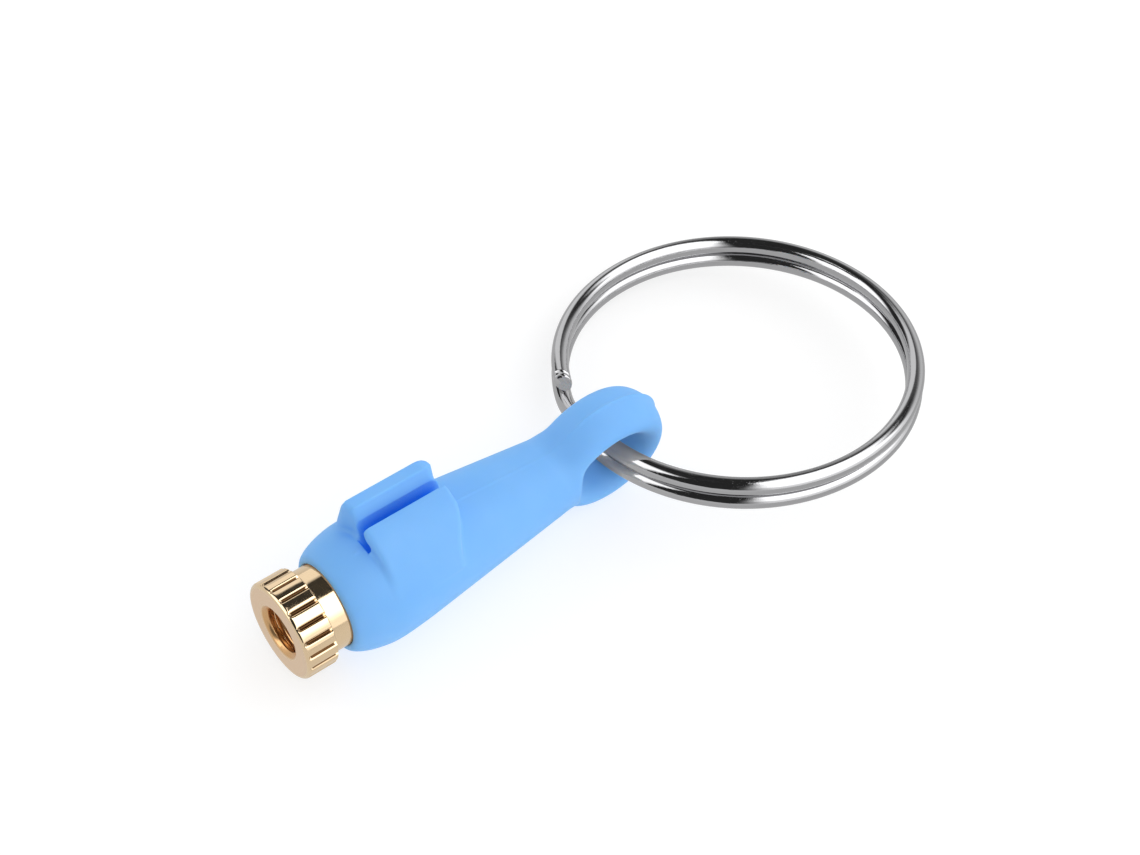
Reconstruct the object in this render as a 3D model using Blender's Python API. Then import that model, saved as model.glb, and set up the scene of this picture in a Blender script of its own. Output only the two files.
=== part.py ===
"""Key-ring tool: a soft rubber handle with a side clip, a knurled brass screw-on end and a split ring.

The handle lies along X with the brass end at -X and the ring at +X. Z is up through the clip, and Y is the
axis of the hole in the handle's loop. The origin is on the floor, under the middle of the whole object.
"""

import math

import bmesh
import bpy
from mathutils import Matrix, Vector

MM = 0.001

# Heights and places along the handle's axis, counted from the flat face of the brass end.
AXIS_HEIGHT = 5.9 * MM
FLANGE_LENGTH = 2.95 * MM
SOCKET_MOUTH = 4.7 * MM
SHANK_END = 13.6 * MM
SOCKET_END = 14.2 * MM
DOME_END = 10.0 * MM
BODY_END = 30.1 * MM
HOLE_CENTRE = 34.1 * MM
RING_CROSSING = 34.95 * MM

# Brass end: knurled flange, neck, shank inside the rubber, and a stepped hole right through.
FLANGE_DIAMETER = 9.05 * MM
FLUTE_COUNT = 20
FLUTE_DEPTH = 0.3 * MM
FLANGE_CHAMFER = 0.2 * MM
NECK_DIAMETER = 7.65 * MM
SHANK_DIAMETER = 7.4 * MM
NECK_REACH = 0.8 * MM
NECK_STEP_LENGTH = 0.3 * MM
SHANK_CHAMFER = 0.5 * MM
MOUTH_DIAMETER = 4.9 * MM
THREAD_BORE_DIAMETER = 4.2 * MM
SEAT_DEPTH = 10.2 * MM
AIR_BORE_DIAMETER = 2.8 * MM

# Washer at the bottom of the threaded bore.
WASHER_DIAMETER = 4.0 * MM
WASHER_HOLE_DIAMETER = 2.2 * MM
WASHER_THICKNESS = 1.1 * MM
WASHER_GAP = 0.1 * MM

# Handle: rounded front, straight taper, and a loop at the rear.
SOCKET_DIAMETER = 7.85 * MM
FRONT_LIP_RADIUS = 4.1 * MM
FRONT_HALF_WIDTH = 5.6 * MM
FRONT_HALF_HEIGHT = 5.45 * MM
DOME_SOFTNESS = 1.25
REAR_HALF_WIDTH = 3.45 * MM
REAR_HALF_HEIGHT = 3.1 * MM
REAR_ROUNDING = 0.7 * MM
SECTION_POWER = 2.2
LOOP_HALF_LENGTH = 6.5 * MM
LOOP_HALF_HEIGHT = 5.9 * MM
LOOP_HALF_THICKNESS = 1.55 * MM
LOOP_HALF_WIDTH = 2.65 * MM

# Clip on top of the handle: a tall jaw on the +Y side and a low sloping jaw on the -Y side.
CLIP_FRONT = 8.3 * MM
CLIP_BACK = 17.1 * MM
CLIP_FRONT_INSET = 0.45 * MM
CLIP_FRONT_ROUNDING = 0.8 * MM
CLIP_BACK_ROUNDING = 1.5 * MM
CLIP_FLANK_SHARE = 0.7
TALL_JAW_TOP = 8.3 * MM
TALL_JAW_FLANK = [(4.3 * MM, 3.2 * MM), (3.9 * MM, 5.4 * MM)]
TALL_JAW_SHOULDER = (3.5 * MM, 7.4 * MM)
TALL_JAW_OUTER_EDGE = 3.1 * MM
TALL_JAW_INNER_EDGE = 2.0 * MM
JAW_STEP = (1.55 * MM, 0.1 * MM)
LOW_JAW_TOP = 7.05 * MM
LOW_JAW_EDGE = 0.5 * MM
LOW_JAW_BROW = (-1.3 * MM, 6.6 * MM)
LOW_JAW_SLOPE = [(-2.7 * MM, 5.6 * MM), (-3.6 * MM, 4.5 * MM), (-4.4 * MM, 3.2 * MM)]
CLIP_ROOT_HEIGHT = 1.5 * MM
CLIP_ROOT_SIDES = (-1.0 * MM, 2.0 * MM)

# Hooked slot between the jaws.
SLOT_WIDTH = 1.0 * MM
SLOT_BEND_CENTRE = (-0.35 * MM, 6.75 * MM)
SLOT_BEND_RADIUS = 1.4 * MM
SLOT_BEND_START = math.radians(8)
SLOT_BEND_END = math.radians(-82)
SLOT_ENTRY_SIDES = (0.9 * MM, 2.3 * MM)
SLOT_LEAD = 0.3 * MM

# Split ring.
RING_DIAMETER = 35.0 * MM
WIRE_DIAMETER = 1.65 * MM
COIL_PITCH = 1.73 * MM
RING_DROP = 0.75 * MM
RING_TILT = math.radians(9.8)
RING_YAW = math.radians(1.6)
COIL_TURNS = 2
SINGLE_STRAND_ARC = math.radians(26.0)
TOP_END_ANGLE = math.radians(151.0)

OVERALL_LENGTH = RING_CROSSING + RING_DIAMETER - WIRE_DIAMETER / 2
FACE_X = -OVERALL_LENGTH / 2

ROUND_SEGMENTS = 48
WASHER_SEGMENTS = 32
CUTTER_MARGIN = 2.0 * MM


def clear_scene():
    for item in list(bpy.data.objects):
        bpy.data.objects.remove(item, do_unlink=True)


def make_material(name, colour, roughness, metallic):
    material = bpy.data.materials.new(name)
    material.use_nodes = True
    shader = material.node_tree.nodes["Principled BSDF"]
    shader.inputs["Base Color"].default_value = (*colour, 1.0)
    shader.inputs["Roughness"].default_value = roughness
    shader.inputs["Metallic"].default_value = metallic
    return material


def link_object(name, data, material=None):
    item = bpy.data.objects.new(name, data)
    bpy.context.scene.collection.objects.link(item)
    if material is not None:
        data.materials.append(material)
    return item


def make_cutter(name, mesh):
    """A helper that shapes another piece and is no piece itself."""
    cutter = link_object(name, mesh)
    cutter.hide_render = True
    cutter.display_type = "WIRE"
    return cutter


def finish_mesh(form, name):
    bmesh.ops.recalc_face_normals(form, faces=form.faces)
    mesh = bpy.data.meshes.new(name)
    form.to_mesh(mesh)
    form.free()
    mesh.shade_smooth()
    mesh.set_sharp_from_angle(angle=math.radians(35))
    return mesh


def bridge(form, first, second):
    count = len(first)
    for i in range(count):
        j = (i + 1) % count
        form.faces.new((first[i], first[j], second[j], second[i]))


def loft(name, sections, closed_path=False):
    """A skin over equal-length loops of points, with its two ends filled or joined to each other."""
    form = bmesh.new()
    loops = [[form.verts.new(point) for point in section] for section in sections]
    for first, second in zip(loops, loops[1:]):
        bridge(form, first, second)
    if closed_path:
        bridge(form, loops[-1], loops[0])
    else:
        form.faces.new(loops[0])
        form.faces.new(loops[-1])
    return finish_mesh(form, name)


def on_axis(distance, y=0.0, z=0.0):
    """A point given by its distance behind the brass face and its offset from the handle's axis."""
    return Vector((FACE_X + distance, y, AXIS_HEIGHT + z))


def set_origin(item, point):
    """Puts a piece's own origin at a point on its joint's axis."""
    item.data.transform(Matrix.Translation(-point))
    item.location = point


def add_boolean(item, cutter, operation):
    modifier = item.modifiers.new(f"{operation.lower()}_{cutter.name}", "BOOLEAN")
    modifier.operation = operation
    modifier.solver = "EXACT"
    modifier.object = cutter


def round_section(distance, radius, count=ROUND_SEGMENTS):
    steps = [math.tau * i / count for i in range(count)]
    return [on_axis(distance, radius * math.cos(a), radius * math.sin(a)) for a in steps]


def oval_section(distance, half_width, half_height, count=ROUND_SEGMENTS):
    """A section a little squarer than an ellipse."""
    points = []
    for i in range(count):
        angle = math.tau * i / count
        across, up = math.cos(angle), math.sin(angle)
        y = half_width * math.copysign(abs(across) ** (2 / SECTION_POWER), across)
        z = half_height * math.copysign(abs(up) ** (2 / SECTION_POWER), up)
        points.append(on_axis(distance, y, z))
    return points


def taper_size(distance):
    """Half width and half height of the tapered stretch at this distance."""
    share = (distance - DOME_END) / (BODY_END - DOME_END)
    half_width = FRONT_HALF_WIDTH + share * (REAR_HALF_WIDTH - FRONT_HALF_WIDTH)
    half_height = FRONT_HALF_HEIGHT + share * (REAR_HALF_HEIGHT - FRONT_HALF_HEIGHT)
    return half_width, half_height


def body_sections():
    """The rounded front, the straight taper and the rounded rear shoulder."""
    sections = []
    dome_length = DOME_END - SOCKET_MOUTH
    dome_steps = 8
    for i in range(dome_steps):
        angle = math.pi / 2 * i / dome_steps
        distance = SOCKET_MOUTH + dome_length * (1 - math.cos(angle))
        rise = math.sin(angle) ** DOME_SOFTNESS
        half_width = FRONT_LIP_RADIUS + (FRONT_HALF_WIDTH - FRONT_LIP_RADIUS) * rise
        half_height = FRONT_LIP_RADIUS + (FRONT_HALF_HEIGHT - FRONT_LIP_RADIUS) * rise
        sections.append(oval_section(distance, half_width, half_height))
    straight_end = BODY_END - REAR_ROUNDING
    straight_steps = 6
    for i in range(straight_steps):
        distance = DOME_END + (straight_end - DOME_END) * i / (straight_steps - 1)
        sections.append(oval_section(distance, *taper_size(distance)))
    shoulder_steps = 3
    for i in range(1, shoulder_steps + 1):
        angle = math.pi / 2 * i / shoulder_steps
        distance = straight_end + REAR_ROUNDING * math.sin(angle)
        half_width, half_height = taper_size(distance)
        inset = REAR_ROUNDING * (1 - math.cos(angle))
        sections.append(oval_section(distance, half_width - inset, half_height - inset))
    return sections


def loop_sections(around=40, across=16):
    """A closed oval band for the ring: an ellipse swept round an ellipse in the XZ plane."""
    middle_length = LOOP_HALF_LENGTH - LOOP_HALF_THICKNESS
    middle_height = LOOP_HALF_HEIGHT - LOOP_HALF_THICKNESS
    sections = []
    for i in range(around):
        angle = math.tau * i / around
        x, z = middle_length * math.cos(angle), middle_height * math.sin(angle)
        outward = Vector((math.cos(angle) / middle_length, 0, math.sin(angle) / middle_height)).normalized()
        section = []
        for j in range(across):
            turn = math.tau * j / across
            swell = LOOP_HALF_THICKNESS * math.cos(turn)
            side = LOOP_HALF_WIDTH * math.sin(turn)
            section.append(on_axis(HOLE_CENTRE + x, side, z) + outward * swell)
        sections.append(section)
    return sections


def prism(name, outline, front, back):
    """An outline of (y, z) points run along X between two distances behind the brass face."""
    return loft(name, [[on_axis(x, y, z) for y, z in outline] for x in (front, back)])


def clip_outline(inset):
    """The clip seen from the front: the tall jaw's top, its far flank, and the low jaw's sloping flank."""
    tall_top = TALL_JAW_TOP - inset
    low_top = LOW_JAW_TOP - inset
    slope = inset * CLIP_FLANK_SHARE
    step_side, step_drop = JAW_STEP
    brow_side, brow_height = LOW_JAW_BROW
    shoulder_side, shoulder_height = TALL_JAW_SHOULDER
    return [
        (TALL_JAW_OUTER_EDGE, tall_top),
        (TALL_JAW_INNER_EDGE, tall_top),
        (step_side, low_top - step_drop),
        (LOW_JAW_EDGE, low_top),
        (brow_side + slope, brow_height - inset),
        *[(side + slope, height - slope) for side, height in LOW_JAW_SLOPE],
        *[(side, CLIP_ROOT_HEIGHT) for side in CLIP_ROOT_SIDES],
        *[(side - slope, height - slope) for side, height in TALL_JAW_FLANK],
        (shoulder_side - slope, shoulder_height - inset),
    ]


def clip_sections(steps=4):
    """The clip's outline from front to back, drawn in at its two ends so that they are rounded."""
    sections = [(CLIP_FRONT, CLIP_FRONT_INSET), (CLIP_FRONT + CLIP_FRONT_ROUNDING, 0.0)]
    start = CLIP_BACK - CLIP_BACK_ROUNDING
    for i in range(steps + 1):
        angle = math.pi / 2 * i / steps
        distance = start + CLIP_BACK_ROUNDING * math.sin(angle)
        sections.append((distance, CLIP_BACK_ROUNDING * (1 - math.cos(angle))))
    return [[on_axis(x, y, z) for y, z in clip_outline(inset)] for x, inset in sections]


def arc_points(centre, radius, start, finish, steps):
    angles = [start + (finish - start) * i / steps for i in range(steps + 1)]
    return [(centre[0] + radius * math.cos(a), centre[1] + radius * math.sin(a)) for a in angles]


def slot_outline(steps=8):
    """The hooked slot between the jaws: straight down, then round towards the low jaw's side."""
    outer_radius = SLOT_BEND_RADIUS + SLOT_WIDTH / 2
    inner_radius = SLOT_BEND_RADIUS - SLOT_WIDTH / 2
    outer = arc_points(SLOT_BEND_CENTRE, outer_radius, SLOT_BEND_START, SLOT_BEND_END, steps)
    inner = arc_points(SLOT_BEND_CENTRE, inner_radius, SLOT_BEND_START, SLOT_BEND_END, steps)
    entry = [(side, TALL_JAW_TOP + CUTTER_MARGIN) for side in SLOT_ENTRY_SIDES]
    return [*entry, *outer, *reversed(inner)]


def build_handle(material):
    mesh = loft("handle", body_sections())
    handle = link_object("handle", mesh, material)
    loop = make_cutter("loop_form", loft("loop_form", loop_sections(), closed_path=True))
    clip = make_cutter("clip_form", loft("clip_form", clip_sections()))
    slot_form = prism("slot_form", slot_outline(), CLIP_FRONT - SLOT_LEAD, CLIP_BACK + CUTTER_MARGIN)
    slot = make_cutter("slot_form", slot_form)
    socket_ends = (SOCKET_MOUTH - CUTTER_MARGIN, SOCKET_END)
    socket_form = loft("socket_form", [round_section(x, SOCKET_DIAMETER / 2) for x in socket_ends])
    socket = make_cutter("socket_form", socket_form)
    add_boolean(handle, clip, "UNION")
    add_boolean(handle, loop, "UNION")
    add_boolean(handle, slot, "DIFFERENCE")
    add_boolean(handle, socket, "DIFFERENCE")


def fluted_section(distance, radius, depth):
    """A round section with straight flutes: three points on each crown and one in each groove."""
    points = []
    for i in range(FLUTE_COUNT * 4):
        angle = math.tau * i / (FLUTE_COUNT * 4)
        in_groove = i % 4 == 0
        size = radius - depth if in_groove else radius
        points.append(on_axis(distance, size * math.cos(angle), size * math.sin(angle)))
    return points


def build_key_end(material):
    """One turned brass piece: fluted flange, neck, shank, and a stepped hole right through."""
    flange, neck, shank = FLANGE_DIAMETER / 2, NECK_DIAMETER / 2, SHANK_DIAMETER / 2
    mouth, bore, air = MOUTH_DIAMETER / 2, THREAD_BORE_DIAMETER / 2, AIR_BORE_DIAMETER / 2
    chamfer = FLANGE_CHAMFER
    outside = [
        (0.0, flange - chamfer, 0.0),
        (chamfer, flange, FLUTE_DEPTH),
        (FLANGE_LENGTH - chamfer, flange, FLUTE_DEPTH),
        (FLANGE_LENGTH, flange - chamfer, FLUTE_DEPTH / 2),
        (FLANGE_LENGTH, neck, 0.0),
        (SOCKET_MOUTH + NECK_REACH, neck, 0.0),
        (SOCKET_MOUTH + NECK_REACH + NECK_STEP_LENGTH, shank, 0.0),
        (SHANK_END - SHANK_CHAMFER, shank, 0.0),
        (SHANK_END, shank - SHANK_CHAMFER, 0.0),
    ]
    inside = [
        (SHANK_END, air, 0.0),
        (SEAT_DEPTH, air, 0.0),
        (SEAT_DEPTH, bore, 0.0),
        (mouth - bore, bore, 0.0),
        (0.0, mouth, 0.0),
    ]
    sections = [fluted_section(*row) for row in outside + inside]
    key_end = link_object("brass_key_end", loft("brass_key_end", sections, closed_path=True), material)
    set_origin(key_end, on_axis(0.0))


def build_washer(material):
    back = SEAT_DEPTH - WASHER_GAP
    front = back - WASHER_THICKNESS
    rim, hole = WASHER_DIAMETER / 2, WASHER_HOLE_DIAMETER / 2
    profile = [(front, hole), (front, rim), (back, rim), (back, hole)]
    sections = [round_section(distance, radius, WASHER_SEGMENTS) for distance, radius in profile]
    washer = link_object("seal_washer", loft("seal_washer", sections, closed_path=True), material)
    set_origin(washer, on_axis(0.0))


def ring_frame():
    """The ring's own axes and centre: it passes through the loop's hole at its -X point."""
    turn = Matrix.Rotation(RING_TILT, 3, "X").inverted() @ Matrix.Rotation(RING_YAW, 3, "Z")
    along, across, normal = (turn @ Vector(axis) for axis in ((1, 0, 0), (0, 1, 0), (0, 0, 1)))
    crossing = on_axis(RING_CROSSING, 0.0, -RING_DROP)
    return crossing, along, across, normal


def ring_route(steps_per_turn=56):
    """Two turns of wire, one above the other, with one step between them beside the loop."""
    crossing, along, across, normal = ring_frame()
    radius = (RING_DIAMETER - WIRE_DIAMETER) / 2
    centre = crossing + along * radius
    sweep = COIL_TURNS * math.tau - SINGLE_STRAND_ARC
    step_start = math.tau - SINGLE_STRAND_ARC
    count = round(sweep / math.tau * steps_per_turn)
    points = []
    for i in range(count + 1):
        travelled = sweep * i / count
        share = min(max((travelled - step_start) / SINGLE_STRAND_ARC, 0.0), 1.0)
        ease = share * share * (3 - 2 * share)
        angle = TOP_END_ANGLE - travelled
        level = COIL_PITCH * (0.5 - ease)
        outward = math.cos(angle) * along + math.sin(angle) * across
        points.append(centre + radius * outward + level * normal)
    return points


def build_ring(material):
    curve = bpy.data.curves.new("split_ring", "CURVE")
    curve.dimensions = "3D"
    curve.bevel_depth = WIRE_DIAMETER / 2
    curve.bevel_resolution = 3
    curve.use_fill_caps = True
    crossing = ring_frame()[0]
    points = ring_route()
    spline = curve.splines.new("POLY")
    spline.points.add(len(points) - 1)
    for target, point in zip(spline.points, points):
        target.co = (*(point - crossing), 1.0)
    ring = link_object("split_ring", curve, material)
    ring.location = crossing


def main():
    clear_scene()
    rubber = make_material("blue_rubber", (0.2, 0.47, 0.95), 0.5, 0.0)
    brass = make_material("polished_brass", (0.83, 0.62, 0.3), 0.18, 1.0)
    steel = make_material("polished_steel", (0.72, 0.72, 0.73), 0.12, 1.0)
    black = make_material("black_rubber", (0.02, 0.02, 0.02), 0.6, 0.0)
    build_handle(rubber)
    build_key_end(brass)
    build_washer(black)
    build_ring(steel)


main()
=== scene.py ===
"""Looks of the key-ring tool: a soft rubber handle, a knurled brass end, its washer and a split ring.

Shapes are worked out in millimetres, as distance behind the flat face of the brass end, then across, then
above the handle's axis. The frame gives where that face and that axis are.
"""

import math

import bpy
import numpy as np
from mathutils import Matrix, Vector


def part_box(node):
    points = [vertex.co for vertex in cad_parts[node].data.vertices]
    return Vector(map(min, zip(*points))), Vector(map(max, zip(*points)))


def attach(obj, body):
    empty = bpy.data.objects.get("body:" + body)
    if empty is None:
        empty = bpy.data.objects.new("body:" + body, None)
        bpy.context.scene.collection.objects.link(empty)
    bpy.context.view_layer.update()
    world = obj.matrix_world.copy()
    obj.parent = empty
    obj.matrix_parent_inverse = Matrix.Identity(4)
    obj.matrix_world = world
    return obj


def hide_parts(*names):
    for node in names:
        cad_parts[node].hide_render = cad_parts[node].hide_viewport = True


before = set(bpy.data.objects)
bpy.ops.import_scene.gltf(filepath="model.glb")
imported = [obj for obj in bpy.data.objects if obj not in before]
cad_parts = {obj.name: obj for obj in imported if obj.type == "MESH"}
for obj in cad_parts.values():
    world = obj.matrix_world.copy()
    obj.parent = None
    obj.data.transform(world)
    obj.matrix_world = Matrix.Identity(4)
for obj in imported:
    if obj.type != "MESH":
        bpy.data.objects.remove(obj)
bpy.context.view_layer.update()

MM = 0.001

# Where the frame puts the brass face, the handle's axis and the split ring.
brass_low, brass_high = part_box("brass_key_end")
FACE_X = brass_low.x
AXIS_HEIGHT = (brass_low.z + brass_high.z) / 2

# Handle, in millimetres.
SOCKET_MOUTH = 4.7
SOCKET_END = 14.2
SOCKET_RADIUS = 3.86
DOME_END = 10.0
BODY_END = 29.7
LIP_RADIUS = 4.08
FRONT_HALF_WIDTH = 5.6
FRONT_HALF_HEIGHT = 5.45
REAR_HALF_WIDTH = 3.45
REAR_HALF_HEIGHT = 3.1
SECTION_POWER = 2.2
DOME_POWER = 0.625
DOME_BLEND = 0.35
LIP_EDGE = 0.35
BODY_END_EDGE = 0.7
SOCKET_EDGE = 0.18
HOLE_CENTRE = 34.1
LOOP_HALF_LENGTH = 6.45
LOOP_HALF_HEIGHT = 5.68
LOOP_HALF_THICKNESS = 1.55
LOOP_HALF_WIDTH = 2.65
LOOP_BLEND = 1.1

# Clip on the handle. Its outline is seen from the front: corners are (across, above the axis).
CLIP_FRONT = 8.7
CLIP_OUTER_FRONT = 8.3
CLIP_BACK = 17.1
LOW_JAW_BACK = 15.6
CLIP_TOP = 8.3
CLIP_EDGE = 0.2
CLIP_BLEND = 0.45
CLIP_FRONT_EDGE = 0.6
LOW_JAW_BACK_EDGE = 0.5
TALL_JAW_BACK_EDGE = 1.6
SLOPE_CENTRE = (1.34, 0.93)
SLOPE_RADIUS = 6.17
SLOPE_START = math.radians(166)
SLOPE_END = math.radians(97)
SLOPE_STEPS = 26
TALL_JAW = [(0.9, 6.8), (1.6, 6.8), (2.15, 8.1), (2.95, 8.1), (3.3, 7.3), (3.7, 5.4), (4.1, 3.2), (2.0, 1.5)]
SLOT_WIDTH = 1.0
SLOT_BEND_CENTRE = (-0.35, 6.75)
SLOT_BEND_RADIUS = 1.4
SLOT_BEND_START = math.radians(8)
SLOT_BEND_END = math.radians(-82)
SLOT_TOP = (1.65, 8.9)
SLOT_EDGE = 0.16
SLOT_OVERRUN = 1.5

# Line left by the mould on the middle plane: a fine raised line, on a low gable round the loop, with one
# short tick of it just in front of the clip.
LINE_HEIGHT = 0.11
LINE_WIDTH = 0.14
GABLE_HEIGHT = 0.2
GABLE_WIDTH = 0.55
TICK_PLACE = 7.9
TICK_LENGTH = 0.45

# Brass end.
FLANGE_LENGTH = 2.95
FLANGE_RADIUS = 4.5
FLUTE_COUNT = 20
FLUTE_DEPTH = 0.3
CROWN_DEPTH = 0.07
FRONT_EDGE = 0.36
BACK_EDGE = 0.14
NECK_RADIUS = 3.82
NECK_FILLET = 0.1
NECK_END = 5.5
SHANK_START = 5.8
SHANK_RADIUS = 3.69
SHANK_END = 13.6
SHANK_CHAMFER = 0.5
BARB_COUNT = 4
BARBS_START = 6.4
BARBS_END = SHANK_END - 0.6
BARB_DEPTH = 0.28
MOUTH_RADIUS = 2.45
MOUTH_DEPTH = 0.35
BORE_RADIUS = 2.1
SEAT_DEPTH = 10.2
SEAT_EDGE = 0.1
AIR_RADIUS = 1.4
AIR_EDGE = 0.15
THREAD_PITCH = 1.06
THREAD_DEPTH = 0.45
THREAD_STEPS = 14
FACE_ROWS = 8

# Washer.
WASHER_FRONT = SEAT_DEPTH - 1.19
WASHER_BACK = SEAT_DEPTH - 0.11
WASHER_RIM = 1.98
WASHER_HOLE = 1.12
WASHER_EDGE = 0.2

# Split ring.
RING_CROSSING = 34.95
RING_DIAMETER = 35.0
WIRE_RADIUS = 0.82
COIL_PITCH = 1.73
RING_DROP = 0.75
RING_TILT = math.radians(9.8)
RING_YAW = math.radians(1.6)
SINGLE_STRAND_ARC = math.radians(26)
TOP_END_ANGLE = math.radians(151)
WIRE_END_LENGTH = 1.5
NICK_PLACE = 0.75
NICK_DEPTH = 0.15
BURR_DEPTH = 0.12

# Camera, in millimetres of the frame: where it stands, and which way is right and up for it.
CAMERA_PLACE = (-81.15, -74.64, 148.76)
CAMERA_RIGHT = (0.778, -0.6206, 0.0979)
CAMERA_UP = (0.4472, 0.6565, 0.6074)
CAMERA_LENS = 63.2
CAMERA_SENSOR = 36.0

# Studio panels: bearings, heights above the horizon and softness of the edges, all in degrees, and
# brightness. The first list lights the rubber and the floor, and polished metal sees the second. Lengths
# from here on are in metres.
LIGHT_PANELS = [
    ((-118, 42), (-2, 95), 20, 0.85),
    ((50, 176), (-10, 57), 20, 0.5),
]
MIRROR_PANELS = [
    ((-121, -21), (26, 95), 24, 2.3),
    ((-121, -21), (-40, 26), 24, 1.1),
    ((-21, 43), (50, 95), 14, 2.1),
    ((-21, 49), (-40, 30), 24, 0.72),
    ((56, 93), (-40, 40), 12, 0.9),
    ((123, 178), (-40, 57), 12, 1.8),
]
LIGHT_EVERYWHERE = 0.5
MIRROR_EVERYWHERE = 0.03
BACKDROP_WHITE = 0.95
FLOOR_COLOUR = (0.45, 0.45, 0.45)
FLOOR_GLOW = 0.62
FLOOR_IN_METAL = (0.68, 0.58)
FLOOR_HALF_SIDE = 1.5
CARD_CENTRE = (-0.011, 0.024, 0.066)
CARD_HALF_SIDES = (0.013, 0.032)
WHITE = (1.0, 1.0, 1.0, 1.0)


def to_frame(points):
    """Millimetres behind the brass face and round the axis to metres in the frame."""
    return np.asarray(points, float) * MM + np.array([FACE_X, 0.0, AXIS_HEIGHT])


def make_piece(name, points, faces, material, uv=None, normals=None):
    """A smooth mesh object, with a place along the surface and a normal for each point if they are given."""
    mesh = bpy.data.meshes.new(name)
    mesh.from_pydata(to_frame(points).tolist(), [], [list(face) for face in faces])
    if uv is not None:
        corners = np.empty(len(mesh.loops), np.int32)
        mesh.loops.foreach_get("vertex_index", corners)
        mesh.uv_layers.new(name="run").data.foreach_set("uv", uv[corners].reshape(-1))
    mesh.materials.append(material)
    mesh.shade_smooth()
    if normals is not None:
        mesh.normals_split_custom_set_from_vertices(normals.tolist())
    piece = bpy.data.objects.new(name, mesh)
    bpy.context.scene.collection.objects.link(piece)
    return piece


def finish_piece(piece, body, node):
    """The piece moves with its body and stands for its CAD node, which is hidden."""
    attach(piece, body)
    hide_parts(node)


# ---------------------------------------------------------------- the handle's shape as a field

def smooth_min(a, b, radius):
    """The lesser of two fields, with the corner where they cross filled over this radius."""
    share = np.maximum(radius - np.abs(a - b), 0.0) / radius
    return np.minimum(a, b) - share * share * radius / 4


def smooth_max(a, b, radius):
    return -smooth_min(-a, -b, radius)


def smooth_step(low, high, value):
    share = np.clip((value - low) / (high - low), 0.0, 1.0)
    return share * share * (3 - 2 * share)


def body_field(x, y, z):
    """Rounded front, straight taper, rear end with a soft edge."""
    forward = np.clip((DOME_END - x) / (DOME_END - SOCKET_MOUTH), 0.0, 1.0)
    rise = (1 - forward ** 2) ** DOME_POWER
    share = (x - DOME_END) / (BODY_END - DOME_END)
    halves = []
    for front, rear in ((FRONT_HALF_WIDTH, REAR_HALF_WIDTH), (FRONT_HALF_HEIGHT, REAR_HALF_HEIGHT)):
        dome = LIP_RADIUS + (front - LIP_RADIUS) * rise
        taper = front + share * (rear - front)
        halves.append(smooth_min(dome, taper, DOME_BLEND))
    half_width, half_height = halves
    across, above = np.abs(y / half_width) ** SECTION_POWER, np.abs(z / half_height) ** SECTION_POWER
    reach = (across + above) ** (1 / SECTION_POWER)
    radial = np.hypot(y, z)
    side = radial - radial / np.maximum(reach, 1e-6)
    field = smooth_max(side, x - BODY_END, BODY_END_EDGE)
    return smooth_max(field, SOCKET_MOUTH - x, LIP_EDGE)


def loop_field(x, y, z):
    """An oval band round the ring's hole, a little peaked along its outer middle line."""
    along = x - HOLE_CENTRE
    middle_length = LOOP_HALF_LENGTH - LOOP_HALF_THICKNESS
    middle_height = LOOP_HALF_HEIGHT - LOOP_HALF_THICKNESS
    radial = np.hypot(along, z)
    swell = radial - radial / np.maximum(np.hypot(along / middle_length, z / middle_height), 1e-6)
    section = np.hypot(swell, y)
    scale = np.hypot(swell / LOOP_HALF_THICKNESS, y / LOOP_HALF_WIDTH)
    return section - section / np.maximum(scale, 1e-6)


def clip_outline():
    """The clip from the front, less the rounding of its edges: the low jaw's slope, then the tall jaw."""
    centre_y, centre_z = SLOPE_CENTRE
    radius = SLOPE_RADIUS - CLIP_EDGE
    slope = []
    for i in range(SLOPE_STEPS + 1):
        angle = SLOPE_START + (SLOPE_END - SLOPE_START) * i / SLOPE_STEPS
        slope.append((centre_y + radius * math.cos(angle), centre_z + radius * math.sin(angle)))
    return slope + TALL_JAW


def outline_field(outline, y, z):
    """Distance to a closed outline, below nought inside it."""
    nearest = np.full(y.shape, np.inf)
    inside = np.zeros(y.shape, bool)
    for (y0, z0), (y1, z1) in zip(outline, outline[1:] + outline[:1]):
        edge_y, edge_z = y1 - y0, z1 - z0
        share = ((y - y0) * edge_y + (z - z0) * edge_z) / (edge_y ** 2 + edge_z ** 2)
        share = np.clip(share, 0.0, 1.0)
        nearest = np.minimum(nearest, np.hypot(y - y0 - share * edge_y, z - z0 - share * edge_z))
        if edge_z != 0:
            crosses = (z0 > z) != (z1 > z)
            inside ^= crosses & (y < edge_y * (z - z0) / edge_z + y0)
    return np.where(inside, -nearest, nearest)


def clip_front(y):
    """The clip's front comes forward a little at the tall jaw's outer side."""
    return CLIP_FRONT + (CLIP_OUTER_FRONT - CLIP_FRONT) * smooth_step(1.4, 3.1, y)


def clip_field(x, y, z):
    """The outline carried from front to back, with a rounder back on the tall jaw than on the low one."""
    across = outline_field(clip_outline(), y, z) - CLIP_EDGE
    tall = smooth_step(0.9, 1.9, y)
    back = CLIP_BACK + (LOW_JAW_BACK - CLIP_BACK) * smooth_step(1.0, 4.6, -y)
    edge = LOW_JAW_BACK_EDGE + (TALL_JAW_BACK_EDGE - LOW_JAW_BACK_EDGE) * tall
    field = smooth_max(across, x - back, edge)
    return smooth_max(field, clip_front(y) - x, CLIP_FRONT_EDGE)


def segment_distance(y, z, start, end):
    """Distance to a straight stretch of the slot's middle line."""
    along_y, along_z = end[0] - start[0], end[1] - start[1]
    share = ((y - start[0]) * along_y + (z - start[1]) * along_z) / (along_y ** 2 + along_z ** 2)
    share = np.clip(share, 0.0, 1.0)
    return np.hypot(y - start[0] - share * along_y, z - start[1] - share * along_z)


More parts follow.
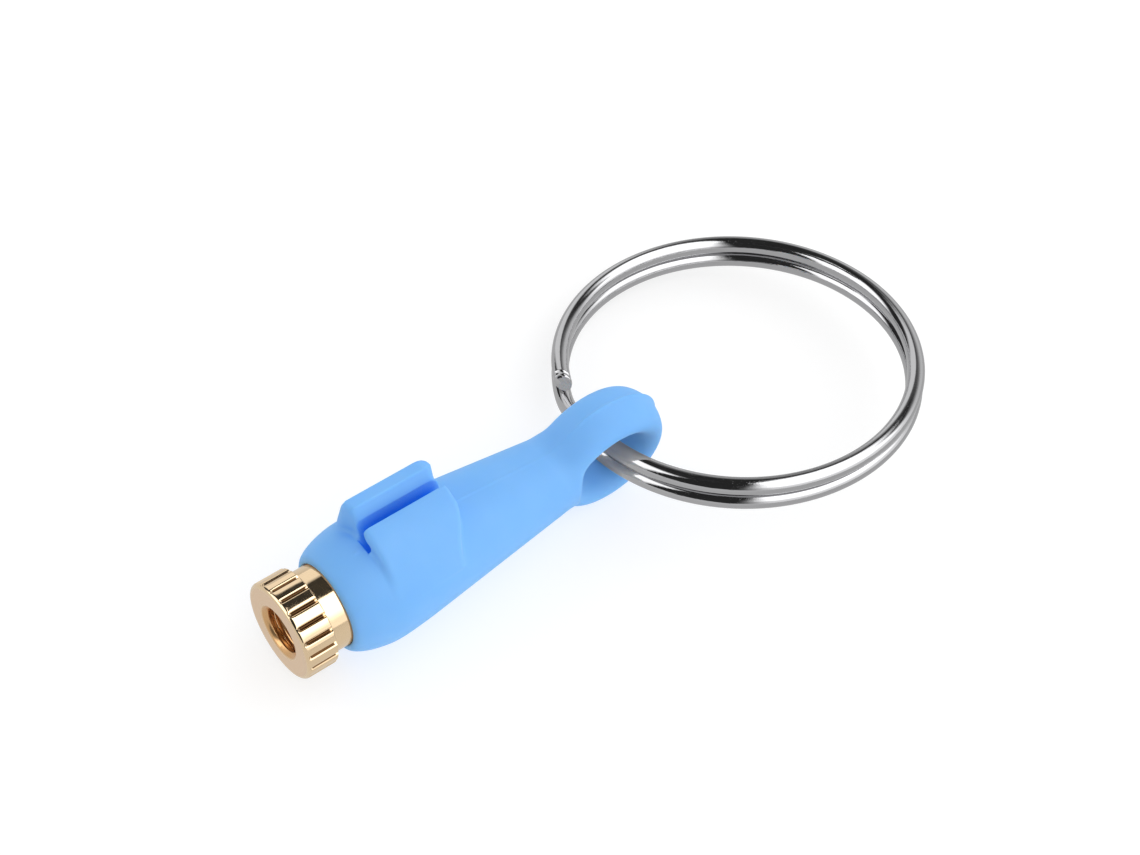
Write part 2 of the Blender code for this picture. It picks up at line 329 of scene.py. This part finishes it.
def slot_field(x, y, z):
    """The hooked slot between the jaws: down from the top, then round under the low jaw."""
    centre_y, centre_z = SLOT_BEND_CENTRE
    angle = np.clip(np.arctan2(z - centre_z, y - centre_y), SLOT_BEND_END, SLOT_BEND_START)
    nearest_y = centre_y + SLOT_BEND_RADIUS * np.cos(angle)
    nearest_z = centre_z + SLOT_BEND_RADIUS * np.sin(angle)
    bend = np.hypot(y - nearest_y, z - nearest_z)
    start = (centre_y + SLOT_BEND_RADIUS * math.cos(SLOT_BEND_START),
             centre_z + SLOT_BEND_RADIUS * math.sin(SLOT_BEND_START))
    channel = np.minimum(bend, segment_distance(y, z, start, SLOT_TOP)) - SLOT_WIDTH / 2
    lead = 0.12 + 0.4 * smooth_step(4.9, 6.2, z)
    return np.maximum(np.maximum(channel, clip_front(y) - lead - x), x - CLIP_BACK - SLOT_OVERRUN)


def mould_line(x, y, z):
    """Height of the raised line that the two halves of the mould leave on the middle plane."""
    on_loop = smooth_step(29.0, 32.5, x)
    on_body = 0.4 * smooth_step(16.5, 18.0, x)
    tick = np.exp(-((x - TICK_PLACE) / TICK_LENGTH) ** 2)
    top = smooth_step(2.0, 3.2, np.abs(z))
    top = np.maximum(top, smooth_step(37.5, 38.5, x)) * (1 - 0.45 * smooth_step(0.0, 2.0, -z))
    share = np.maximum(np.maximum(on_loop, on_body), tick) * top
    fine = LINE_HEIGHT * np.exp(-(y / LINE_WIDTH) ** 2) * share
    gable = GABLE_HEIGHT * np.exp(-np.abs(y) / GABLE_WIDTH) * on_loop * top
    return fine + gable


def plain_field(points):
    """The handle without its mould line."""
    x, y, z = points[..., 0], points[..., 1], points[..., 2]
    field = smooth_min(body_field(x, y, z), clip_field(x, y, z), CLIP_BLEND)
    field = smooth_min(field, loop_field(x, y, z), LOOP_BLEND)
    field = smooth_max(field, -slot_field(x, y, z), SLOT_EDGE)
    socket = np.maximum(np.hypot(y, z) - SOCKET_RADIUS, x - SOCKET_END)
    return smooth_max(field, -socket, SOCKET_EDGE)


def handle_field(points):
    """The whole handle's field, below nought inside the rubber."""
    return plain_field(points) - mould_line(points[..., 0], points[..., 1], points[..., 2])


# ---------------------------------------------------------------- a skin over the field

def field_grid(low, high, step):
    """The field on a grid whose cells are centred on the middle plane, layer by layer to save room."""
    x = np.arange(low[0], high[0], step)
    y = (np.arange(math.floor(low[1] / step), math.ceil(high[1] / step) + 1) + 0.5) * step
    z = np.arange(low[2], high[2], step)
    across, up = np.meshgrid(y, z, indexing="ij")
    layers = []
    for distance in x:
        points = np.stack([np.full(across.shape, distance), across, up], axis=-1)
        layers.append(handle_field(points))
    return np.array(layers), np.array([x[0], y[0], z[0]])


def surface_net(values, origin, step):
    """One point in each cell that the surface crosses, and a face round each crossed grid line."""
    inside = values < 0
    cells = tuple(n - 1 for n in values.shape)
    corners = [(i, j, k) for i in (0, 1) for j in (0, 1) for k in (0, 1)]

    def corner(array, offset):
        return array[tuple(slice(o, o + n) for o, n in zip(offset, cells))]

    count = sum(corner(inside, c).astype(np.int8) for c in corners)
    active = (count > 0) & (count < 8)
    index = np.full(cells, -1, np.int64)
    index[active] = np.arange(active.sum())
    total = np.zeros((active.sum(), 3))
    crossings = np.zeros(active.sum())
    for axis in range(3):
        for offset in corners:
            if offset[axis]:
                continue
            other = tuple(o + (a == axis) for a, o in enumerate(offset))
            first, second = corner(values, offset)[active], corner(values, other)[active]
            crossed = (first < 0) != (second < 0)
            share = np.where(crossed, first / np.where(crossed, first - second, 1.0), 0.0)
            place = np.tile(np.array(offset, float), (len(first), 1))
            place[:, axis] += share
            total[crossed] += place[crossed]
            crossings += crossed
    points = origin + (np.argwhere(active) + total / crossings[:, None]) * step
    faces = []
    for axis in range(3):
        second, third = (axis + 1) % 3, (axis + 2) % 3
        first_end = [slice(None)] * 3
        last_end = [slice(None)] * 3
        first_end[axis], last_end[axis] = slice(None, -1), slice(1, None)
        starts = inside[tuple(first_end)]
        crossed = np.argwhere(starts != inside[tuple(last_end)])
        limits = np.array(cells)
        fits = (crossed[:, second] > 0) & (crossed[:, third] > 0)
        fits &= (crossed[:, second] < limits[second]) & (crossed[:, third] < limits[third])
        crossed = crossed[fits]
        around = []
        for back_second, back_third in ((1, 1), (0, 1), (0, 0), (1, 0)):
            cell = crossed.copy()
            cell[:, second] -= back_second
            cell[:, third] -= back_third
            around.append(index[tuple(cell.T)])
        quads = np.stack(around, axis=1)
        flipped = ~starts[tuple(crossed.T)]
        quads[flipped] = quads[flipped][:, ::-1]
        faces.append(quads)
    return points, np.concatenate(faces)


def field_slope(field, points, reach=0.01):
    """How fast the field rises along each axis, measured over a short reach."""
    slope = np.empty_like(points)
    for axis in range(3):
        shift = np.zeros(3)
        shift[axis] = reach
        slope[:, axis] = (field(points + shift) - field(points - shift)) / (2 * reach)
    return slope


def settle(points, step, rounds=3):
    """Moves each point onto the surface. Those beside the mould line stay in straight rows along it, except
    at the lip and beside the clip, where the surface turns too sharply for rows."""
    slope = field_slope(plain_field, points)
    steepness = np.linalg.norm(slope, axis=1)
    layer = np.round(points[:, 1] / step)
    distance = points[:, 0]
    at_lip = distance < SOCKET_MOUTH + 0.5
    beside_clip = (distance > CLIP_FRONT - 0.1) & (distance < CLIP_FRONT + 8.7)
    in_row = (np.abs(layer) <= 4) & (np.abs(slope[:, 1]) < 0.8 * steepness) & ~at_lip & ~beside_clip
    points[in_row, 1] = layer[in_row] * step
    for _ in range(rounds):
        slope = field_slope(handle_field, points)
        slope[in_row, 1] = 0.0
        amount = handle_field(points) / np.maximum((slope ** 2).sum(axis=1), 0.05)
        move = slope * amount[:, None]
        length = np.linalg.norm(move, axis=1)
        move *= np.minimum(1.0, 0.5 * step / np.maximum(length, 1e-9))[:, None]
        points = points - move
    return points


def build_handle(material):
    """The handle's skin, on a grid fine enough for the mould line."""
    step = 0.1
    low = (SOCKET_MOUTH - 3 * step, -FRONT_HALF_WIDTH - 3 * step, -LOOP_HALF_HEIGHT - 4 * step)
    high = (HOLE_CENTRE + LOOP_HALF_LENGTH + 6 * step, FRONT_HALF_WIDTH + 3 * step, CLIP_TOP + 4 * step)
    values, origin = field_grid(low, high, step)
    points, faces = surface_net(values, origin, step)
    points = settle(points, step)
    slope = field_slope(handle_field, points)
    normals = slope / np.linalg.norm(slope, axis=1)[:, None]
    piece = make_piece("soft_handle", points, faces, material, normals=normals)
    finish_piece(piece, "handle", "handle")


# ---------------------------------------------------------------- turned pieces

def ring_faces(rows, columns, closed_rows):
    """Quads over a grid of points that is closed round its columns, and round its rows if asked."""
    last = rows if closed_rows else rows - 1
    row = np.arange(last)[:, None]
    column = np.arange(columns)[None, :]
    next_row, next_column = (row + 1) % rows, (column + 1) % columns
    quads = [row * columns + column, row * columns + next_column,
             next_row * columns + next_column, next_row * columns + column]
    return np.stack([np.broadcast_to(q, (last, columns)) for q in quads], axis=-1).reshape(-1, 4)


def arc(centre, radius, start, end, steps):
    """Points (distance, radius) of a round corner, with its two angles in degrees."""
    angles = np.radians(np.linspace(start, end, steps))
    return [(centre[0] + radius * math.cos(a), centre[1] + radius * math.sin(a)) for a in angles]


def run(start, end, steps):
    """Points of a straight stretch, without its two ends."""
    return [tuple(point) for point in np.linspace(start, end, steps + 2)[1:-1]]


def brass_outside():
    """The turned profile from the face's rim over the flange, neck and barbed shank to its end."""
    front, back, fillet = FRONT_EDGE, BACK_EDGE, NECK_FILLET
    profile = run((0.0, MOUTH_RADIUS), (0.0, FLANGE_RADIUS - front), FACE_ROWS)
    profile += arc((front, FLANGE_RADIUS - front), front, 180, 90, 7)
    profile += run((front, FLANGE_RADIUS), (FLANGE_LENGTH - front, FLANGE_RADIUS), 6)
    profile += arc((FLANGE_LENGTH - back, FLANGE_RADIUS - back), back, 90, 0, 6)
    profile += run((FLANGE_LENGTH, FLANGE_RADIUS - back), (FLANGE_LENGTH, NECK_RADIUS + fillet), 2)
    profile += arc((FLANGE_LENGTH + fillet, NECK_RADIUS + fillet), fillet, 180, 270, 5)
    profile += run((FLANGE_LENGTH + fillet, NECK_RADIUS), (NECK_END, NECK_RADIUS), 6)
    profile += [(NECK_END, NECK_RADIUS), (SHANK_START, SHANK_RADIUS)]
    length = (BARBS_END - BARBS_START) / BARB_COUNT
    for i in range(BARB_COUNT):
        start = BARBS_START + i * length
        bottom, top = (start + 0.1, SHANK_RADIUS - BARB_DEPTH), (start + length - 0.15, SHANK_RADIUS)
        profile += [(start, SHANK_RADIUS), bottom] + run(bottom, top, 3) + [top]
    profile += [(SHANK_END - SHANK_CHAMFER, SHANK_RADIUS), (SHANK_END, SHANK_RADIUS - SHANK_CHAMFER)]
    return profile


def brass_inside():
    """The stepped hole from the shank's end through the seat and the thread to the countersunk mouth."""
    edge = SEAT_EDGE
    profile = [(SHANK_END, AIR_RADIUS + AIR_EDGE), (SHANK_END - AIR_EDGE, AIR_RADIUS)]
    profile += [(SEAT_DEPTH + edge, AIR_RADIUS), (SEAT_DEPTH, AIR_RADIUS + edge)]
    profile += [(SEAT_DEPTH, BORE_RADIUS + edge), (SEAT_DEPTH - edge, BORE_RADIUS + 2 * edge)]
    steps = round(SEAT_DEPTH / THREAD_PITCH * THREAD_STEPS)
    profile += run((SEAT_DEPTH - edge, BORE_RADIUS), (MOUTH_DEPTH, BORE_RADIUS), steps)
    profile += [(MOUTH_DEPTH, BORE_RADIUS), (0.05, MOUTH_RADIUS)]
    return profile


def flute_cut(angle):
    """How far the flange is cut in at this angle: gently rounded crowns between narrow grooves."""
    side = np.abs((angle * FLUTE_COUNT / math.tau) % 1.0 * 2 - 1)
    return CROWN_DEPTH * side ** 2 + (FLUTE_DEPTH - CROWN_DEPTH) * smooth_step(0.66, 0.9, side)


def thread_rise(distance, angle):
    """How far the bore opens between the thread's crests, for a right-handed thread."""
    turn = (distance / THREAD_PITCH - angle / math.tau) % 1.0
    wave = np.abs(turn * 2 - 1)
    return THREAD_DEPTH * smooth_step(0.25, 0.8, wave)


def turned_grid(profile, columns):
    """Distance along the axis, radius and angle at every point of a turned profile."""
    angle = np.arange(columns) / columns * math.tau
    profile = np.array(profile)
    return profile[:, :1] + 0 * angle, profile[:, 1:] + 0 * angle, angle


def turned_points(distance, radius, angle):
    return np.stack([distance, radius * np.cos(angle), radius * np.sin(angle)], axis=-1).reshape(-1, 3)


def build_key_end(material, face_material, columns=400):
    """The brass end, its flutes cut into the turned flange and its thread into the turned hole."""
    outside, inside = brass_outside(), brass_inside()
    distance, radius, angle = turned_grid(outside + inside, columns)
    is_outside = (np.arange(len(distance)) < len(outside))[:, None]
    on_flange = is_outside & (distance <= FLANGE_LENGTH)
    cut = flute_cut(angle) * smooth_step(0.05, 0.5, distance)
    radius = np.where(on_flange, np.minimum(radius, FLANGE_RADIUS - cut), radius)
    in_bore = ~is_outside & (distance < SEAT_DEPTH)
    fade = smooth_step(0.3, 1.0, distance) * (1 - smooth_step(SEAT_DEPTH - 1.9, SEAT_DEPTH - 1.3, distance))
    radius = radius + np.where(in_bore, thread_rise(distance, angle) * fade, 0.0)
    points, faces = turned_points(distance, radius, angle), ring_faces(len(distance), columns, True)
    piece = make_piece("knurled_brass_end", points, faces, material)
    piece.data.materials.append(face_material)
    on_face = [polygon.index // columns < FACE_ROWS for polygon in piece.data.polygons]
    piece.data.polygons.foreach_set("material_index", [int(value) for value in on_face])
    piece.data.set_sharp_from_angle(angle=math.radians(50))
    finish_piece(piece, "key_end", "brass_key_end")


def build_washer(material, columns=64):
    """A flat washer with four rounded edges."""
    edge = WASHER_EDGE
    front, back = WASHER_FRONT + edge, WASHER_BACK - edge
    hole, rim = WASHER_HOLE + edge, WASHER_RIM - edge
    profile = []
    for centre, start in (((front, hole), 270), ((front, rim), 180), ((back, rim), 90), ((back, hole), 0)):
        profile += arc(centre, edge, start, start - 90, 5)
    points = turned_points(*turned_grid(profile, columns))
    piece = make_piece("rubber_washer", points, ring_faces(len(profile), columns, True), material)
    finish_piece(piece, "seal", "seal_washer")


# ---------------------------------------------------------------- the split ring

def ring_axes():
    """The tilted ring's own axes: along the handle, across it, and along the ring's axis."""
    turn = Matrix.Rotation(RING_TILT, 3, "X").inverted() @ Matrix.Rotation(RING_YAW, 3, "Z")
    return [np.array(turn @ Vector(axis)) for axis in ((1, 0, 0), (0, 1, 0), (0, 0, 1))]


def wire_end_shape(around, from_end):
    """How far each point of a section moves towards the wire's tip, and how much the wire narrows, at a
    sheared end: a slanting oval cut that looks up, with a nick across the wire just before it."""
    slant = 0.3 * np.sin(around)[None, :] + 0.45 * np.cos(around)[None, :]
    share = np.clip(1 - from_end / WIRE_END_LENGTH, 0.0, 1.0)[:, None] ** 2
    nick = np.exp(-((from_end[:, None] - NICK_PLACE - 0.2 * np.cos(around)) / 0.1) ** 2)
    nick = NICK_DEPTH * nick * smooth_step(-0.4, 0.5, np.sin(around))
    burr = BURR_DEPTH * np.exp(-(from_end[:, None] / 0.12) ** 2)
    return -slant * WIRE_RADIUS * share, 1 - nick - burr


def wire_stations(sweep, radius, steps_per_turn):
    """Angles travelled along the wire, closer together at its two ends."""
    fine_length, fine_step = 1.6, 0.04
    fine = np.arange(0.0, fine_length, fine_step) / radius
    count = round(sweep / math.tau * steps_per_turn)
    middle = np.linspace(fine_length / radius, sweep - fine_length / radius, count)
    return np.concatenate([fine, middle, sweep - fine[::-1]])


def build_ring(material, steps_per_turn=260, columns=36):
    """Two turns of round wire with one step between them, sheared at both ends."""
    along, across, normal = ring_axes()
    radius = RING_DIAMETER / 2 - WIRE_RADIUS
    centre = np.array([RING_CROSSING, 0.0, -RING_DROP]) + along * radius
    sweep = 2 * math.tau - SINGLE_STRAND_ARC
    travelled = wire_stations(sweep, radius, steps_per_turn)
    rows = len(travelled)
    around = np.arange(columns) / columns * math.tau
    from_start, from_finish = travelled * radius, (sweep - travelled) * radius
    start_move, start_size = wire_end_shape(around, from_start)
    finish_move, finish_size = wire_end_shape(around, from_finish)
    turned = travelled[:, None] + (finish_move - start_move) / radius
    size = WIRE_RADIUS * start_size * finish_size
    shift = np.clip((turned - (math.tau - SINGLE_STRAND_ARC)) / SINGLE_STRAND_ARC, 0.0, 1.0)
    level = COIL_PITCH * (0.5 - shift * shift * (3 - 2 * shift)) + size * np.sin(around)
    angle = TOP_END_ANGLE - turned
    outward = np.cos(angle)[..., None] * along + np.sin(angle)[..., None] * across
    wire = centre + outward * (radius + size * np.cos(around))[..., None] + level[..., None] * normal
    points = np.concatenate([wire.reshape(-1, 3), [wire[0].mean(axis=0), wire[-1].mean(axis=0)]])
    faces = [tuple(quad) for quad in ring_faces(rows, columns, False)]
    last = (rows - 1) * columns
    for column in range(columns):
        following = (column + 1) % columns
        faces.append((following, column, rows * columns))
        faces.append((last + column, last + following, rows * columns + 1))
    run_uv = np.stack([turned * radius, np.broadcast_to(around / math.tau, turned.shape)], axis=-1)
    run_uv = np.concatenate([run_uv.reshape(-1, 2), np.zeros((2, 2))])
    piece = make_piece("split_ring_wire", points, faces, material, run_uv)
    piece.data.set_sharp_from_angle(angle=math.radians(45))
    finish_piece(piece, "ring", "split_ring")


# ---------------------------------------------------------------- materials

def new_material(name, colour, roughness, metallic=0.0):
    material = bpy.data.materials.new(name)
    material.use_nodes = True
    shader = material.node_tree.nodes["Principled BSDF"]
    shader.inputs["Base Color"].default_value = (*colour, 1.0)
    shader.inputs["Roughness"].default_value = roughness
    shader.inputs["Metallic"].default_value = metallic
    return material


class Nodes:
    """Short ways to add the few node patterns that the materials share."""

    def __init__(self, tree):
        self.tree = tree

    def add(self, kind, links=None, **values):
        node = self.tree.nodes.new(kind)
        for name, value in values.items():
            setattr(node, name, value)
        for name, source in (links or {}).items():
            self.feed(source, node.inputs[name])
        return node

    def feed(self, source, target):
        """A socket is linked to the target; a plain number, vector or colour is set on it."""
        if isinstance(source, bpy.types.NodeSocket):
            self.tree.links.new(source, target)
        else:
            target.default_value = source

    def noise(self, vector, scale, detail=3.0, roughness=0.5):
        links = {"Vector": vector, "Scale": scale, "Detail": detail, "Roughness": roughness}
        return self.add("ShaderNodeTexNoise", links).outputs["Fac"]

    def remap(self, value, low, high, new_low, new_high, smooth=False):
        kind = "SMOOTHSTEP" if smooth else "LINEAR"
        links = {"Value": value, "From Min": low, "From Max": high, "To Min": new_low, "To Max": new_high}
        return self.add("ShaderNodeMapRange", links, interpolation_type=kind).outputs["Result"]

    def maths(self, operation, first, second=0.0):
        return self.add("ShaderNodeMath", {0: first, 1: second}, operation=operation).outputs[0]

    def bump(self, height, strength, distance, normal=None):
        links = {"Height": height, "Strength": strength, "Distance": distance}
        if normal is not None:
            links["Normal"] = normal
        return self.add("ShaderNodeBump", links).outputs["Normal"]

    def mix_colour(self, share, first, second):
        node = self.add("ShaderNodeMix", data_type="RGBA")
        self.feed(share, node.inputs["Factor"])
        for source, target in ((first, node.inputs[6]), (second, node.inputs[7])):
            self.feed((*source, 1.0) if isinstance(source, tuple) else source, target)
        return node.outputs[2]

    def stretched(self, vector, scale):
        return self.add("ShaderNodeMapping", {"Vector": vector, "Scale": scale}).outputs["Vector"]

    def product(self, first, *others):
        """All of them multiplied together."""
        for other in others:
            first = self.maths("MULTIPLY", first, other)
        return first

    def link(self, source, shader, name):
        self.tree.links.new(source, shader.inputs[name])


def open_nodes(material):
    """The material's nodes, its texture coordinates and its shader."""
    tree = material.node_tree
    nodes = Nodes(tree)
    coordinates = nodes.add("ShaderNodeTexCoord")
    return nodes, coordinates, tree.nodes["Principled BSDF"]


def make_rubber():
    """Satin silicone rubber: a little light goes through it and its skin has a fine eggshell grain. Painted
    shade deepens its colour and dulls its shine in hollows such as the slot. Polished metal shows it as
    plain grey."""
    material = new_material("sky_blue_silicone", (0.19, 0.49, 0.95), 0.52)
    nodes, coordinates, shader = open_nodes(material)
    place = coordinates.outputs["Object"]
    cloud = nodes.remap(nodes.noise(place, 160.0, 2.0), 0.3, 0.7, 0.0, 1.0)
    surface = nodes.mix_colour(cloud, (0.18, 0.47, 0.93), (0.205, 0.5, 0.96))
    # Painted shade: an ambient occlusion node finds the rubber's hollows, and the colour there is mixed to a
    # darker, deeper blue.
    hollow = nodes.add("ShaderNodeAmbientOcclusion", {"Distance": 0.0022}, samples=8,
                       only_local=True).outputs["AO"]
    painted_hollow_shade = nodes.remap(hollow, 0.28, 0.82, 1.0, 0.0, True)
    surface = nodes.mix_colour(painted_hollow_shade, surface, (0.0, 0.24, 1.0))
    mirrored = nodes.add("ShaderNodeLightPath").outputs["Is Glossy Ray"]
    nodes.link(nodes.mix_colour(mirrored, surface, (0.55, 0.55, 0.55)), shader, "Base Color")
    # The same painted shade lowers the specular level in the hollows.
    nodes.link(nodes.remap(painted_hollow_shade, 0.0, 1.0, 0.35, 0.02), shader, "Specular IOR Level")
    nodes.link(nodes.remap(nodes.noise(place, 900.0), 0.3, 0.7, 0.47, 0.6), shader, "Roughness")
    grain = nodes.bump(nodes.noise(place, 5200.0, 2.0), 0.1, 0.00003)
    nodes.link(nodes.bump(nodes.noise(place, 700.0, 2.0), 0.05, 0.0001, grain), shader, "Normal")
    shader.inputs["Subsurface Weight"].default_value = 0.25
    shader.inputs["Subsurface Radius"].default_value = (0.25, 0.6, 1.0)
    shader.inputs["Subsurface Scale"].default_value = 0.0008
    return material


def axis_distance(nodes, coordinates):
    """Distance from the handle's axis, and the place it is measured at."""
    split = nodes.add("ShaderNodeSeparateXYZ", {"Vector": coordinates.outputs["Object"]})
    height = nodes.maths("SUBTRACT", split.outputs["Z"], AXIS_HEIGHT)
    squares = [nodes.maths("POWER", side, 2.0) for side in (split.outputs["Y"], height)]
    return nodes.maths("SQRT", nodes.maths("ADD", *squares)), split.outputs["X"]


def make_brass():
    """Bright turned brass with very fine turning marks round its axis, painted shade darkening the grooves
    between the flutes, and a darker, duller threaded hole."""
    material = new_material("turned_brass", (0.95, 0.73, 0.47), 0.12, 1.0)
    nodes, coordinates, shader = open_nodes(material)
    place = coordinates.outputs["Object"]
    marks = nodes.noise(nodes.stretched(place, (22000.0, 300.0, 300.0)), 1.0, 2.0)
    nodes.link(nodes.bump(marks, 0.06, 0.00002), shader, "Normal")
    tarnish = nodes.remap(nodes.noise(place, 420.0, 4.0), 0.35, 0.75, 0.0, 1.0)
    surface = nodes.mix_colour(tarnish, (0.96, 0.74, 0.48), (0.93, 0.7, 0.44))
    radius, distance = axis_distance(nodes, coordinates)
    # Painted shade: the grooves between the flutes are darkened in the colour to stand in for the shadow in
    # them, and they are made a little rougher.
    painted_groove_shade = nodes.remap(radius, (FLANGE_RADIUS - 0.16) * MM, (FLANGE_RADIUS - 0.06) * MM, 1.0, 0.0, True)
    after = nodes.remap(distance, FACE_X + 0.36 * MM, FACE_X + 0.46 * MM, 0.0, 1.0)
    before = nodes.remap(distance, FACE_X + 2.7 * MM, FACE_X + 2.8 * MM, 1.0, 0.0)
    outside = nodes.remap(radius, 3.9 * MM, 4.0 * MM, 0.0, 1.0)
    painted_groove_shade = nodes.product(painted_groove_shade, after, before, outside)
    surface = nodes.mix_colour(painted_groove_shade, surface, (0.1, 0.05, 0.02))
    in_bore = nodes.remap(radius, MOUTH_RADIUS * MM, (MOUTH_RADIUS + 0.2) * MM, 1.0, 0.0)
    nodes.link(nodes.mix_colour(in_bore, surface, (0.78, 0.47, 0.22)), shader, "Base Color")
    polish = nodes.remap(nodes.noise(place, 1500.0), 0.3, 0.7, 0.07, 0.15)
    dulled = nodes.maths("MULTIPLY", nodes.maths("ADD", painted_groove_shade, in_bore), 0.2)
    nodes.link(nodes.maths("ADD", polish, dulled), shader, "Roughness")
    return material


def make_brass_face():
    """The faced-off end of the flange, duller than the rest, with rings left by the cutter."""
    material = new_material("faced_brass", (0.93, 0.69, 0.47), 0.34, 1.0)
    nodes, coordinates, shader = open_nodes(material)
    radius = axis_distance(nodes, coordinates)[0]
    circles = nodes.add("ShaderNodeTexNoise", {"W": radius, "Scale": 9000.0, "Detail": 3.0},
                        noise_dimensions="1D").outputs["Fac"]
    nodes.link(nodes.bump(circles, 0.25, 0.00002), shader, "Normal")
    nodes.link(nodes.remap(circles, 0.3, 0.7, 0.28, 0.42), shader, "Roughness")
    return material


def make_steel():
    """Bright plated wire with faint drawing lines and scuffs along it."""
    material = new_material("bright_wire", (0.56, 0.56, 0.57), 0.07, 1.0)
    nodes, coordinates, shader = open_nodes(material)
    along = coordinates.outputs["UV"]
    lines = nodes.noise(nodes.stretched(along, (0.5, 60.0, 1.0)), 1.0, 4.0, 0.6)
    scuffs = nodes.noise(nodes.stretched(along, (2.5, 14.0, 1.0)), 1.0, 6.0, 0.7)
    nodes.link(nodes.remap(scuffs, 0.52, 0.72, 0.05, 0.22), shader, "Roughness")
    nodes.link(nodes.bump(lines, 0.12, 0.00003, nodes.bump(scuffs, 0.05, 0.00005)), shader, "Normal")
    return material


def make_washer_rubber():
    """Matt black rubber with a fine grain."""
    material = new_material("washer_rubber", (0.02, 0.02, 0.02), 0.6)
    nodes, coordinates, shader = open_nodes(material)
    grain = nodes.noise(coordinates.outputs["Object"], 4000.0)
    nodes.link(nodes.bump(grain, 0.3, 0.00005), shader, "Normal")
    nodes.link(nodes.remap(grain, 0.3, 0.7, 0.5, 0.7), shader, "Roughness")
    return material


# ---------------------------------------------------------------- camera, light and floor

def make_camera():
    data = bpy.data.cameras.new("camera")
    data.sensor_width = CAMERA_SENSOR
    data.lens = CAMERA_LENS
    data.clip_start, data.clip_end = 0.01, 10.0
    camera = bpy.data.objects.new("camera", data)
    bpy.context.scene.collection.objects.link(camera)
    right, up = Vector(CAMERA_RIGHT), Vector(CAMERA_UP)
    turn = Matrix((right, up, right.cross(up))).transposed().to_4x4()
    camera.matrix_world = Matrix.Translation(Vector(CAMERA_PLACE) * MM) @ turn
    bpy.context.scene.camera = camera


def flat_card(name, centre, across, up, material):
    """A flat rectangle given by its middle and its two half sides, outside the object."""
    centre, across, up = Vector(centre), Vector(across), Vector(up)
    corners = [centre - across - up, centre + across - up, centre + across + up, centre - across + up]
    mesh = bpy.data.meshes.new(name)
    mesh.from_pydata([tuple(corner) for corner in corners], [], [(0, 1, 2, 3)])
    mesh.materials.append(material)
    card = bpy.data.objects.new(name, mesh)
    bpy.context.scene.collection.objects.link(card)
    return card


def make_floor():
    """A pale floor, which polished metal sees a little darker than the camera does."""
    material = new_material("floor_white", FLOOR_COLOUR, 0.9)
    tree = material.node_tree
    nodes = Nodes(tree)
    shader = tree.nodes["Principled BSDF"]
    shader.inputs["Specular IOR Level"].default_value = 0.0
    shader.inputs["Emission Color"].default_value = WHITE
    shader.inputs["Emission Strength"].default_value = FLOOR_GLOW
    path = nodes.add("ShaderNodeLightPath")
    coordinates = nodes.add("ShaderNodeTexCoord")
    place = nodes.add("ShaderNodeSeparateXYZ", {"Vector": coordinates.outputs["Object"]})
    glow = nodes.remap(place.outputs["X"], -0.03, 0.02, *FLOOR_IN_METAL, True)
    mirrored = nodes.add("ShaderNodeEmission", {"Color": WHITE, "Strength": glow})
    links = {0: path.outputs["Is Glossy Ray"], 1: shader.outputs[0], 2: mirrored.outputs[0]}
    mix = nodes.add("ShaderNodeMixShader", links)
    tree.links.new(mix.outputs[0], tree.nodes["Material Output"].inputs["Surface"])
    flat_card("floor", (0, 0, 0), (FLOOR_HALF_SIDE, 0, 0), (0, FLOOR_HALF_SIDE, 0), material)


def make_dark_card():
    """A dark card close above the brass end, seen only in polished metal."""
    material = new_material("dark_card", (0.02, 0.02, 0.02), 0.9)
    half_length, half_width = CARD_HALF_SIDES
    card = flat_card("dark_card", CARD_CENTRE, (half_length, 0, 0), (0, half_width, 0), material)
    card.visible_camera = False
    card.visible_diffuse = False
    card.visible_shadow = False
    card.visible_transmission = False


def add_panels(nodes, bearing, height, panels, total):
    """Brightness of the studio in each direction: soft-edged panels on top of what is everywhere."""
    for bearings, heights, soft, strength in panels:
        edge = math.radians(soft) / 2
        shares = []
        for value, limits in ((bearing, bearings), (height, heights)):
            low, high = (math.radians(limit) for limit in limits)
            shares.append(nodes.remap(value, low - edge, low + edge, 0.0, 1.0, True))
            shares.append(nodes.remap(value, high - edge, high + edge, 1.0, 0.0, True))
        total = nodes.maths("ADD", nodes.product(*shares, strength), total)
    return total


def make_world():
    """A dark studio with soft white panels, which polished metal and the other surfaces see differently."""
    world = bpy.data.worlds.new("studio")
    world.use_nodes = True
    tree = world.node_tree
    nodes = Nodes(tree)
    coordinates = nodes.add("ShaderNodeTexCoord")
    direction = nodes.add("ShaderNodeSeparateXYZ", {"Vector": coordinates.outputs["Generated"]})
    bearing = nodes.maths("ARCTAN2", direction.outputs["Y"], direction.outputs["X"])
    height = nodes.maths("ARCSINE", direction.outputs["Z"])
    lit = add_panels(nodes, bearing, height, LIGHT_PANELS, LIGHT_EVERYWHERE)
    mirrored = add_panels(nodes, bearing, height, MIRROR_PANELS, MIRROR_EVERYWHERE)
    path = nodes.add("ShaderNodeLightPath")
    seen = lit
    for ray, brightness in (("Is Glossy Ray", mirrored), ("Is Camera Ray", BACKDROP_WHITE)):
        links = {"Factor": path.outputs[ray], 2: seen, 3: brightness}
        seen = nodes.add("ShaderNodeMix", links, data_type="FLOAT").outputs[0]
    background = tree.nodes["Background"]
    background.inputs["Color"].default_value = WHITE
    nodes.link(seen, background, "Strength")
    bpy.context.scene.world = world


def main():
    build_handle(make_rubber())
    build_key_end(make_brass(), make_brass_face())
    build_washer(make_washer_rubber())
    build_ring(make_steel())
    make_camera()
    make_floor()
    make_dark_card()
    make_world()


main()
bpy.context.scene.view_settings.view_transform = "Standard"
bpy.context.view_layer.update()
